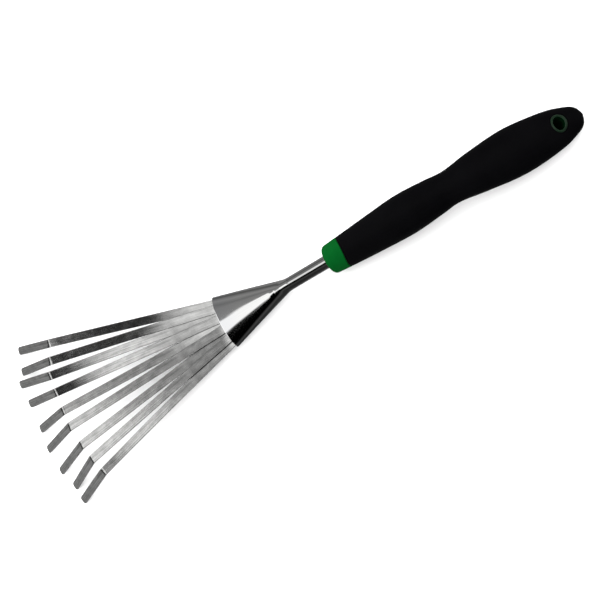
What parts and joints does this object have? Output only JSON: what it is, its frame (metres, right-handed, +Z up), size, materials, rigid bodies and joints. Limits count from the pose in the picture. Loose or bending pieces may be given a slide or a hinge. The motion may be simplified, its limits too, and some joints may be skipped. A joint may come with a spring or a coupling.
{
  "type": "hand shrub rake",
  "caption": "Hand rake with a fan of flat sprung steel tines hooked at the tips, a flattened cone ferrule, a short tube and a contoured soft grip with a hanging eye.",
  "frame": {"origin": "middle of the tool's footprint, on the surface that it lies on", "axes": "+X along the tool from the tines to the butt of the handle, +Y across the fan towards tine_1, +Z up, away from the side that the tips hook towards"},
  "size_m": [0.4376, 0.1242, 0.0293],
  "materials": {
    "tine_steel": "stainless strip, brushed along its length",
    "ferrule_steel": "polished stainless sheet",
    "tube_steel": "drawn stainless tube, bright",
    "fill_resin": "cast resin",
    "plug_plastic": "plain moulded",
    "green_plastic": "satin green moulded plastic",
    "black_rubber": "soft black overmould, low sheen"
  },
  "bodies": {
    "root": {"tine_1": "tine_steel", "tine_2": "tine_steel", "tine_3": "tine_steel", "tine_4": "tine_steel", "tine_5": "tine_steel", "tine_6": "tine_steel", "tine_7": "tine_steel", "tine_8": "tine_steel", "tine_9": "tine_steel", "ferrule": "ferrule_steel", "ferrule_fill": "fill_resin", "shaft_tube": "tube_steel", "shaft_end_plug": "plug_plastic", "handle_core": "green_plastic", "grip_overmould": "black_rubber"}
  },
  "joints": []
}
